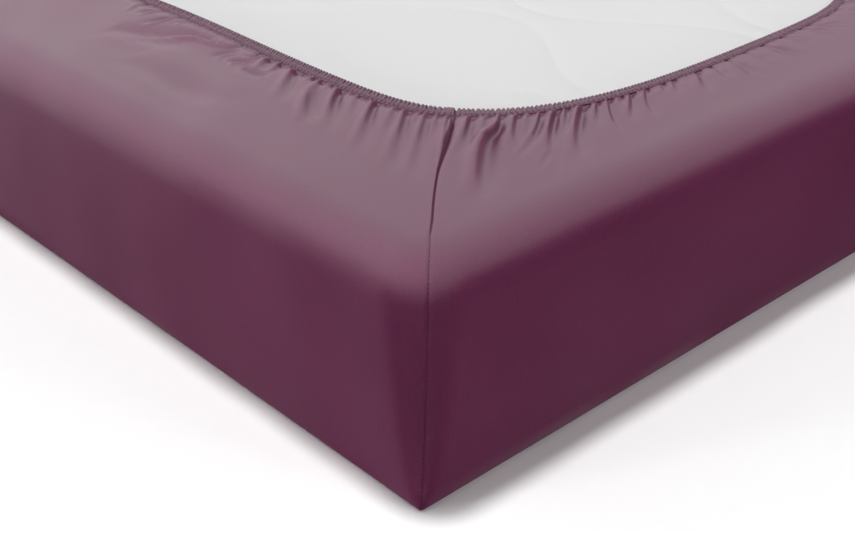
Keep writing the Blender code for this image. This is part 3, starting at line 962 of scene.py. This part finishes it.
def make_binding(material):
    """A flat oval carried round the mouth: a rolled free edge, ribs across, a sewn outer edge.

    Valleys are a power of a sine from rib to rib, and stitches and notches are bells.
    Each also darkens the colour there, as painted shade.
    """
    edge, share, size = rib_columns()
    tilt = np.radians(blended(edge, BINDING_TILT))
    slant = MM * blended(edge, RIB_SLANT_MM)
    gap = seam_gap(edge)
    first, last = np.array(JOIN_MM) * MM
    bump = 1 - ease(2 * np.abs(2 * gap - first - last) / (last - first) - 1)
    notch = bell(gap / NOTCH_WIDTH)
    valley = 1 - np.sin(math.pi * share) ** VALLEY_SHARPNESS
    valley = valley * size * (1 - JOIN_SMOOTH * bump)
    dimple = ((1 + np.cos(TAU * edge / STITCH_PITCH)) / 2) ** STITCH_SHARPNESS
    swing = CRIMP_WANDER[0] * np.sin(TAU * edge / CRIMP_WANDER[1])
    crimp = (1 + np.sin(TAU * edge / CRIMP_PITCH + swing)) / 2
    points, uv, painted_shade = [], [], []
    for across, height, depth in BINDING_SECTION:
        top = ease((height - TOP_FROM) / (TOP_FULL - TOP_FROM))
        flat = top * ease((CRIMP_SPREAD[1] - across) / CRIMP_FADES[1])
        flat = flat * ease((across - CRIMP_SPREAD[0]) / CRIMP_FADES[0] + 1)
        ribbed = 1 - CRIMP_FLATTENS * flat
        from_row = (across - STITCH_ROW) / STITCH_SPREAD
        up = height * BINDING_HALF - depth * MM * valley * ribbed - CRIMP_DEPTH * crimp * flat
        up = up + top * (JOIN_RISE * bump - NOTCH_DEPTH * notch)
        up = up - STITCH_DIMPLE * dimple * bell(from_row)
        at_edge = ease((across - SCALLOP_FROM) / (1 - SCALLOP_FROM))
        drawn = SCALLOP / BINDING_WIDTH * valley * at_edge
        points.append(binding_point(edge + slant * across, tilt, across - drawn, up))
        uv.append(np.column_stack((edge, np.full(len(edge), across))))
        # Painted shade: darker colour in the rib and crimp valleys, the notch and the stitch
        # dimples
        rib_shade = VALLEY_PAINTED_SHADE * valley ** VALLEY_SHADE_POWER * ease(depth / FULL_SHADE_DEPTH_MM) * ribbed
        rib_shade = rib_shade + CRIMP_PAINTED_SHADE * crimp * flat
        painted_shade.append(rib_shade + notch + STITCH_PAINTED_SHADE * dimple * bell(from_row / 2))
    triangles = loft([len(edge)] * len(points))[:, ::-1]
    points, uv = np.concatenate(points), np.concatenate(uv)
    painted_shade = np.clip(np.concatenate(painted_shade), 0, 1).astype(np.float32)
    return mesh_object("gathered_binding", points, triangles, material, uv, EDGE_TOTAL, painted_shade)


# ================================================================ sewing
THREAD_RADIUS = 0.36 * MM
THREAD_RISE = 0.2  # radii up from the bottom of the groove
STITCH_SIDES = 6
STITCH_RINGS = 5
SEAM_STITCH_PITCH = 3.1 * MM
SEAM_STITCH_LENGTH = 2.0 * MM
SEAM_STITCH_AHEAD = SEAM_STITCH_PITCH / 9  # its direction is taken over this length


def make_seam_stitches(material):
    """The thread that closes the four corner seams, in short stitches in their grooves.

    A stitch is a circle carried along its length, its radius the root of a sine from pole
    to pole, turned to the seam's direction and to the cloth's normal.
    """
    rows = [row[:2] for row in sheet_rows()[1:] if row[0] != "base"]
    rows = [cloth_row(SEAM_PLACES[:4], *row) for row in rows]
    spots = []
    for corner in SIDES:
        path = np.array([np.hstack((row[0][corner], row[1][corner])) for row in rows])
        length = lengths_along(path[:, :3])
        at = np.arange(SEAM_STITCH_PITCH / 2, length[-1], SEAM_STITCH_PITCH)
        ahead = rows_at(at + SEAM_STITCH_AHEAD, length, path[:, :3])
        spots.append(np.hstack((rows_at(at, length, path), ahead)))
    centre, up, ahead = np.split(np.concatenate(spots), 3, axis=1)
    forward = unit(ahead - centre)
    sideways = unit(np.cross(forward, up))
    frames = np.stack((forward, sideways, np.cross(sideways, forward)), axis=1)
    share = np.linspace(0, 1, STITCH_RINGS + 2)[1:-1, None]
    around = np.arange(STITCH_SIDES) / STITCH_SIDES * TAU
    radius = THREAD_RADIUS * np.sin(math.pi * share) ** 0.5
    along = (share - 0.5) * SEAM_STITCH_LENGTH + 0 * around
    ring = np.stack((along, radius * np.cos(around), radius * np.sin(around)), axis=-1)
    ends = [(-SEAM_STITCH_LENGTH / 2, 0, 0), (SEAM_STITCH_LENGTH / 2, 0, 0)]
    stitch_points = np.concatenate((ring.reshape(-1, 3), ends))
    points = (centre + up * THREAD_RADIUS * THREAD_RISE)[:, None] + stitch_points @ frames
    total = STITCH_SIDES * STITCH_RINGS
    one = np.concatenate((
        loft([STITCH_SIDES] * STITCH_RINGS, close=False),
        cap(0, STITCH_SIDES, total),
        cap(total - STITCH_SIDES, STITCH_SIDES, total + 1)[:, ::-1],
    ))
    triangles = one + len(stitch_points) * np.arange(len(centre))[:, None, None]
    points, triangles = points.reshape(-1, 3), triangles.reshape(-1, 3)
    return mesh_object("corner_seam_stitching", points, triangles, material)


# ================================================================ the mattress
QUILT_LINES = range(-3, 5)  # wavy lines along the mattress, every other one mirrored
QUILT_PITCH = 0.120
QUILT_SWING = 0.045
QUILT_LENGTH = 0.356
QUILT_MIDDLE = (-0.093, -0.600)
QUILT_DEPTH = 1.0 * MM
QUILT_SPREAD = 0.0065
QUILT_SOFTNESS = 1.2 * MM
SUNK_MORE = 1.2 * MM  # the mattress gives this much more than the folds press in,
SUNK_RANGE = (-0.007, 0.003)  # from and to these distances outside the binding
SUNK_MIDDLE = (0.005, -0.007)  # a point well inside the mouth
SUNK_SAMPLES = 900
MATTRESS_COLUMNS = 592
EDGE_TURNS = np.linspace(0, math.pi / 2, 9)[1:]
LOWER_EDGE_TURNS = np.linspace(0, math.pi / 2, 6)[1:]
MATTRESS_WALL_ROWS = 5
MATTRESS_MIDDLE = 0.448  # inset of the first ring, a long narrow one
MATTRESS_RING = 0.008  # from there the rings are this far apart
MATTRESS_EDGE = 0.040
MATTRESS_CORNER = 0.045
LEAST_CORNER = 0.002
MATTRESS_LOWER_EDGE = 0.020
MATTRESS_BASE = 0.20  # inset of the last ring, on the hidden face


def quilting(x, y):
    """Relief of the quilted lines: for each, an exponential of the softened distance to it."""
    phase = TAU * (y - QUILT_MIDDLE[1]) / QUILT_LENGTH
    swing = QUILT_SWING * np.sin(phase)
    slope = TAU / QUILT_LENGTH * QUILT_SWING * np.cos(phase)
    relief = np.zeros_like(x)
    for number in QUILT_LINES:
        line = QUILT_MIDDLE[0] + number * QUILT_PITCH - (-1) ** number * swing
        distance = np.abs(x - line) / np.sqrt(1 + slope ** 2)
        soft = np.hypot(distance, QUILT_SOFTNESS) - QUILT_SOFTNESS
        relief = relief - QUILT_DEPTH * np.exp(-soft / QUILT_SPREAD)
    return relief


def sunk(plan):
    """How far the mattress gives under the gathered cloth: a smooth step outside the mouth."""
    places = np.linspace(0, MOUTH_TOTAL, SUNK_SAMPLES, endpoint=False)
    edge = mouth_points(places, BINDING_WIDTH)
    towards = plan[:, None] - edge
    nearest = np.linalg.norm(towards, axis=2).argmin(axis=1)
    away = towards[np.arange(len(plan)), nearest]
    outside = np.sign((away * (edge[nearest] - SUNK_MIDDLE)).sum(axis=1))
    first, last = SUNK_RANGE
    distance = outside * np.linalg.norm(away, axis=1)
    return (SINK + SUNK_MORE) * ease((distance - first) / (last - first))


def mattress_ring(inset, height):
    """A ring of the mattress at an inset from its own outer faces."""
    fraction = np.arange(MATTRESS_COLUMNS // 4) * 4 / MATTRESS_COLUMNS
    radius = max(MATTRESS_CORNER - inset, LEAST_CORNER)
    sides = [rounded_side(side, fraction, CLEAR + inset, radius) for side in SIDES]
    return join(np.concatenate(sides), height)


def zipped(count):
    """Triangles across a long ring that mirrors itself, from mid end to mid end.

    The ring starts at a corner, and each of its four sides has a quarter of its points.
    """
    step = np.arange(count // 2 + 1)
    middle = count // 8
    right = (middle + step) % count
    left = (middle - step) % count
    first = np.stack((right[:-2], right[1:-1], left[1:-1]), axis=1)
    second = np.stack((right[1:-1], left[2:], left[1:-1]), axis=1)
    return np.concatenate((first, second))


def make_mattress(material):
    """A box of rounded edges whose underside, here on top, is quilted in wavy lines."""
    low, high = MATTRESS_LOW.z, MATTRESS_HIGH.z
    rings = []
    insets = np.arange(MATTRESS_MIDDLE, MATTRESS_EDGE, -MATTRESS_RING)
    for inset in np.append(insets, MATTRESS_EDGE):
        ring = mattress_ring(inset, high)
        ring[:, 2] += quilting(ring[:, 0], ring[:, 1]) - sunk(ring[:, :2])
        rings.append(ring)
    for turn in EDGE_TURNS:
        inset = MATTRESS_EDGE * (1 - math.sin(turn))
        ring = mattress_ring(inset, high - MATTRESS_EDGE * (1 - math.cos(turn)))
        ring[:, 2] -= sunk(ring[:, :2]) * math.cos(turn)
        rings.append(ring)
    wall = np.linspace(high - MATTRESS_EDGE, low + MATTRESS_LOWER_EDGE, MATTRESS_WALL_ROWS + 1)
    rings += [mattress_ring(0.0, height) for height in wall[1:]]
    for turn in LOWER_EDGE_TURNS:
        inset = MATTRESS_LOWER_EDGE * (1 - math.cos(turn))
        rings.append(mattress_ring(inset, low + MATTRESS_LOWER_EDGE * (1 - math.sin(turn))))
    rings.append(mattress_ring(MATTRESS_BASE, low))
    total = len(rings) * MATTRESS_COLUMNS
    triangles = np.concatenate((
        loft([MATTRESS_COLUMNS] * len(rings), close=False),
        zipped(MATTRESS_COLUMNS),
        cap(total - MATTRESS_COLUMNS, MATTRESS_COLUMNS, total)[:, ::-1],
    ))
    points = np.concatenate(rings + [[(0.0, 0.0, low)]])
    return mesh_object("quilted_mattress", points, triangles, material)


# ================================================================ shader maths
class Value:
    """A number's socket that Python's operators extend with Math nodes."""

    def __init__(self, recipe, socket):
        self.recipe, self.socket = recipe, socket

    def math(self, operation, *others):
        """One Math node on this value and others."""
        inputs = {0: self.socket}
        for index, other in enumerate(others, start=1):
            inputs[index] = other.socket if isinstance(other, Value) else other
        node = self.recipe.node("ShaderNodeMath", {"operation": operation}, inputs)
        return Value(self.recipe, node.outputs[0])

    def __add__(self, other):
        return self.math("ADD", other)

    def __sub__(self, other):
        return self.math("SUBTRACT", other)

    def __mul__(self, other):
        return self.math("MULTIPLY", other)

    def __rsub__(self, other):
        return self * -1.0 + other

    __radd__ = __add__
    __rmul__ = __mul__

    def smooth(self, low, high):
        """0 below low, 1 above high, and a smooth step between."""
        ranges = {"Value": self.socket, "From Min": low, "From Max": high}
        node = self.recipe.node("ShaderNodeMapRange", {"interpolation_type": "SMOOTHSTEP"}, ranges)
        return Value(self.recipe, node.outputs[0])


class Nodes:
    """A node tree under construction."""

    def __init__(self, tree):
        self.tree = tree

    def node(self, kind, settings=None, inputs=None):
        """A node of a kind, with its settings made first and then its sockets filled."""
        node = self.tree.nodes.new(kind)
        for name, value in (settings or {}).items():
            setattr(node, name, value)
        for name, value in (inputs or {}).items():
            if isinstance(value, Value):
                value = value.socket
            if isinstance(value, bpy.types.NodeSocket):
                self.tree.links.new(value, node.inputs[name])
            else:
                node.inputs[name].default_value = value
        return node

    def split(self, vector):
        """The x, y and z of a vector as three values."""
        node = self.node("ShaderNodeSeparateXYZ", None, {0: vector})
        return [Value(self, socket) for socket in node.outputs]

    def dot(self, vector, direction):
        """The share of a vector that runs in a direction."""
        settings = {"operation": "DOT_PRODUCT"}
        node = self.node("ShaderNodeVectorMath", settings, {0: vector, 1: direction})
        return Value(self, node.outputs["Value"])


class Recipe(Nodes):
    """A material under construction: its shader, and what varies over the surface."""

    def __init__(self, name, roughness, specular):
        self.material = bpy.data.materials.new(name)
        self.material.use_nodes = True
        super().__init__(self.material.node_tree)
        self.shader = self.tree.nodes["Principled BSDF"]
        self.shader.inputs["Roughness"].default_value = roughness
        self.shader.inputs["Specular IOR Level"].default_value = specular

    def feed(self, socket, value):
        """Link a varying value to one of the shader's sockets."""
        value = value.socket if isinstance(value, Value) else value
        self.tree.links.new(value, self.shader.inputs[socket])

    def cloth_place(self):
        """The piece's own u and v, in metres along and across."""
        return self.node("ShaderNodeUVMap", {"uv_map": "cloth"}).outputs[0]

    def noise(self, scale, detail=2.0, roughness=0.5, place=None):
        """Noise from 0 to 1 over the piece's x, y, z or a place, of so many blots a metre."""
        if place is None:
            place = self.node("ShaderNodeTexCoord").outputs["Object"]
        scaling = {"operation": "MULTIPLY"}
        place = self.node("ShaderNodeVectorMath", scaling, {0: place, 1: scale}).outputs[0]
        inputs = {"Vector": place, "Scale": 1.0, "Detail": detail, "Roughness": roughness}
        return Value(self, self.node("ShaderNodeTexNoise", None, inputs).outputs[0])

    def mix(self, share, first, second):
        """A colour between two, by a share from 0 to 1."""
        inputs = {0: share, 6: first, 7: second}
        return self.node("ShaderNodeMix", {"data_type": "RGBA"}, inputs).outputs[2]

    def bump(self, height, distance, strength=1.0):
        """Feed the normal from a height from 0 to 1 that stands for a real distance."""
        inputs = {"Height": height, "Distance": distance, "Strength": strength}
        self.feed("Normal", self.node("ShaderNodeBump", None, inputs).outputs[0])


PLUM_DEEP = (0.0560, 0.0033, 0.0253, 1.0)
PLUM_SOFT = (0.0750, 0.0062, 0.0361, 1.0)
BINDING_PLUM = (0.200, 0.080, 0.138, 1.0)
BINDING_GREY = (0.245, 0.155, 0.196, 1.0)
# The dark of the binding's random mottle, and the colour of its painted shade
BINDING_MOTTLE_AND_SHADE = (0.024, 0.004, 0.012, 1.0)
THREAD_PLUM = (0.052, 0.0036, 0.0230, 1.0)
THREAD_LIGHT = (0.075, 0.0065, 0.0360, 1.0)
COVER_WHITE = (0.670, 0.670, 0.670, 1.0)
COVER_SHADE = (0.638, 0.638, 0.638, 1.0)
FLOOR_WHITE = (0.96, 0.96, 0.96, 1.0)
FLOOR_SHADE = (0.94, 0.94, 0.94, 1.0)


def plum_satin():
    """Satin-weave cotton: deep plum with a broad soft gloss, faint slubs and clouds."""
    recipe = Recipe("plum_satin", roughness=0.42, specular=0.5)
    place = recipe.cloth_place()
    clouds = recipe.noise((9.0, 9.0, 1.0), 3.0, place=place)
    slubs = recipe.noise((900.0, 55.0, 1.0), 3.0, 0.6, place)
    threads = recipe.noise((60.0, 1400.0, 1.0), place=place)
    grain = recipe.noise((420.0, 300.0, 1.0), 3.0, 0.6, place)
    share = (clouds * 0.3 + slubs * 0.3 + grain * 0.4).smooth(0.32, 0.68)
    recipe.feed("Base Color", recipe.mix(share, PLUM_DEEP, PLUM_SOFT))
    recipe.feed("Roughness", clouds * 0.06 + slubs * 0.06 + 0.36)
    recipe.bump(slubs * 0.4 + threads * 0.3 + grain * 0.3, 0.25 * MM, 0.6)
    return recipe.material


def plum_binding():
    """The gathered binding: duller than satin, greyer on the stretched roll, painted shade in
    hollows.
    """
    recipe = Recipe("plum_binding", roughness=0.50, specular=0.42)
    place = recipe.cloth_place()
    across = recipe.split(place)[1]
    fibres = recipe.noise((2600.0, 30.0, 1.0), place=place)
    roll = across.smooth(0.55, 0.80) * (fibres * 0.6 + 0.5)
    # Painted shade from the mesh: darker colour in the rib valleys, stitch dimples and notches
    painted_shade = recipe.node("ShaderNodeAttribute", {"attribute_name": "painted_shade"}).outputs["Fac"]
    mottle = recipe.noise((800.0, 6.0, 1.0), place=place).smooth(0.38, 0.62)
    colour = recipe.mix(roll, BINDING_PLUM, BINDING_GREY)
    colour = recipe.mix(mottle * 0.65, colour, BINDING_MOTTLE_AND_SHADE)
    recipe.feed("Base Color", recipe.mix(painted_shade, colour, BINDING_MOTTLE_AND_SHADE))
    recipe.bump(fibres, 0.3 * MM, 0.6)
    return recipe.material


def plum_thread():
    """Sewing thread, darker than the cloth, twisted finely."""
    recipe = Recipe("plum_thread", roughness=0.6, specular=0.15)
    twist = recipe.noise((3000.0, 3000.0, 3000.0), 1.0)
    recipe.feed("Base Color", recipe.mix(twist, THREAD_PLUM, THREAD_LIGHT))
    recipe.bump(twist, 0.1 * MM, 0.5)
    return recipe.material


def mattress_cover():
    """White knitted ticking, matt, with a fine even grain."""
    recipe = Recipe("mattress_cover", roughness=0.85, specular=0.2)
    grain = recipe.noise((1100.0, 1100.0, 1100.0))
    clouds = recipe.noise((6.0, 6.0, 6.0))
    recipe.feed("Base Color", recipe.mix(grain * 0.5 + clouds * 0.5, COVER_SHADE, COVER_WHITE))
    recipe.bump(grain, 0.15 * MM, 0.25)
    return recipe.material


def floor_finish():
    """A matt white floor."""
    recipe = Recipe("studio_floor", roughness=0.9, specular=0.1)
    grain = recipe.noise((40.0, 40.0, 40.0))
    recipe.feed("Base Color", recipe.mix(grain, FLOOR_SHADE, FLOOR_WHITE))
    return recipe.material


# ================================================================ studio
NEAR_CORNER = Vector((-HALF_WIDTH, -HALF_LENGTH, 0.0))
CAMERA_HEADING = math.radians(47.2)  # from +X towards +Y
CAMERA_PITCH = math.radians(28.98)  # downwards
CAMERA_HEIGHT = 0.5643
CAMERA_BACK = 1.2048 * CAMERA_HEIGHT  # behind the corner, along the heading
CAMERA_RIGHT = 0.0077 * CAMERA_HEIGHT
IMAGE_WIDTH = 855
FOCAL_PIXELS = 1300.0
SENSOR_MM = 36.0
CAMERA_CLIP = 0.01
FLOOR_SIZE = 24.0
FLOOR_DROP = 0.3 * MM
# The tent is what glossy rays see. Pairs are sines between which a part of it starts and is
# full: of the height, or of the way towards TENT_FRONT, where the camera in view stands.
TENT_LEFT = (-0.73, 0.68, 0.0)
TENT_FRONT = (-0.68, -0.73, 0.0)
TENT_SIDES = (-0.75, -0.35)  # from here on a direction counts as the sides, not as the back
TENT_TILT = 0.28  # the walls' light reaches lower on the left than on the right,
TENT_SIDE_DROP = 0.17  # and lower at the sides than at the back
TENT_EDGE = (-0.06, 0.26)  # the lower edge of the walls' light
TENT_LOW = 0.03  # radiance under that edge,
TENT_HIGH = 1.63  # and over it
TENT_TOP_EDGE = (0.50, 1.10)
TENT_TOP = 1.05  # added overhead
TENT_BELOW_EDGE = (0.35, 0.70)  # of the depth below the horizon
TENT_BELOW = 0.42  # added there at the sides, for the light that comes up from the floor
TENT_OPENING = (-0.30, 0.15)  # towards the front the tent is open,
TENT_OPENING_TOP = (-0.04, 0.20)  # up to this height,
TENT_OPENING_DARKNESS = 0.95  # and so much darker
KEY_LEAN = (0.061, 0.164)  # the key light's direction: so much along X and Y for 1 up
KEY_RADIUS = math.radians(3.8)
KEY_STRENGTH = 2.10
# Lights beside the bed for matt surfaces: degrees from +X, degrees up, strength, radius.
SIDE_LIGHTS = (
    (140.0, 35.0, 0.98, 34.0),
    (300.0, 35.0, 0.74, 34.0),
    (155.0, 2.5, 3.50, 6.0),
    (290.0, 2.5, 2.80, 6.0),
)


def make_camera():
    """The photograph's viewpoint, worked out from the edges that run to its vanishing points."""
    heading = Vector((math.cos(CAMERA_HEADING), math.sin(CAMERA_HEADING), 0))
    right = Vector((heading.y, -heading.x, 0))
    forward = heading * math.cos(CAMERA_PITCH) - Vector((0, 0, math.sin(CAMERA_PITCH)))
    up = right.cross(forward)
    place = NEAR_CORNER - heading * CAMERA_BACK + right * CAMERA_RIGHT
    place.z = CAMERA_HEIGHT
    lens = bpy.data.cameras.new("camera")
    lens.sensor_width = SENSOR_MM
    lens.lens = SENSOR_MM * FOCAL_PIXELS / IMAGE_WIDTH
    lens.clip_start = CAMERA_CLIP
    camera = bpy.data.objects.new("camera", lens)
    axes = Matrix((right, up, -forward)).transposed()
    camera.matrix_world = Matrix.Translation(place) @ axes.to_4x4()
    bpy.context.scene.collection.objects.link(camera)
    bpy.context.scene.camera = camera


def make_studio():
    """A white floor under a tent of soft light, brighter overhead than at the horizon."""
    points = np.array([(-1, -1, 0), (1, -1, 0), (1, 1, 0), (-1, 1, 0)]) * FLOOR_SIZE / 2
    points[:, 2] = -FLOOR_DROP
    floor = mesh_object("floor", points, np.array([(0, 1, 2), (0, 2, 3)]), floor_finish())
    floor.visible_glossy = False
    world = bpy.data.worlds.new("tent")
    world.use_nodes = True
    tent = Nodes(world.node_tree)
    ray = tent.node("ShaderNodeTexCoord").outputs["Generated"]
    height = tent.split(ray)[2]
    front = tent.dot(ray, TENT_FRONT)
    sides = front.smooth(*TENT_SIDES)
    up = height + tent.dot(ray, TENT_LEFT) * TENT_TILT + sides * TENT_SIDE_DROP
    light = up.smooth(*TENT_EDGE) * (TENT_HIGH - TENT_LOW) + TENT_LOW
    below = (height * -1.0).smooth(*TENT_BELOW_EDGE) * sides
    opening = front.smooth(*TENT_OPENING) * (1 - height.smooth(*TENT_OPENING_TOP))
    light = light + up.smooth(*TENT_TOP_EDGE) * TENT_TOP
    light = (light + below * TENT_BELOW) * (1 - opening * TENT_OPENING_DARKNESS)
    background = world.node_tree.nodes["Background"]
    background.inputs["Color"].default_value = (1.0, 1.0, 1.0, 1.0)
    world.node_tree.links.new(light.socket, background.inputs["Strength"])
    world.cycles_visibility.diffuse = False
    bpy.context.scene.world = world
    bpy.context.scene.view_settings.view_transform = "Standard"
    make_sun("key", Vector((*KEY_LEAN, 1)), KEY_STRENGTH, KEY_RADIUS)
    for degrees, rise, strength, radius in SIDE_LIGHTS:
        turn, rise = math.radians(degrees), math.radians(rise)
        flat = math.cos(rise)
        towards = Vector((flat * math.cos(turn), flat * math.sin(turn), math.sin(rise)))
        make_sun("side_light", towards, strength, math.radians(radius))


def make_sun(name, towards, strength, radius):
    """A far soft light in a direction, that shows in no gloss."""
    lamp = bpy.data.lights.new(name, "SUN")
    lamp.energy = strength
    lamp.angle = 2 * radius
    light = bpy.data.objects.new(name, lamp)
    light.rotation_euler = towards.to_track_quat("Z", "Y").to_euler()
    light.visible_glossy = False
    bpy.context.scene.collection.objects.link(light)


def main():
    """Build the pieces, tie each to the frame, and light and frame the view."""
    make_camera()
    sheet = make_sheet(plum_satin())
    binding = make_binding(plum_binding())
    seams = make_seam_stitches(plum_thread())
    mattress = make_mattress(mattress_cover())
    make_studio()

    for piece, node, slot in (
        (sheet, "sheet", "plum_satin"),
        (binding, "elastic_edge", "plum_binding"),
        (mattress, "mattress", "mattress_cover"),
    ):
        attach(piece, "root")
        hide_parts(node)
    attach(seams, "root")


main()
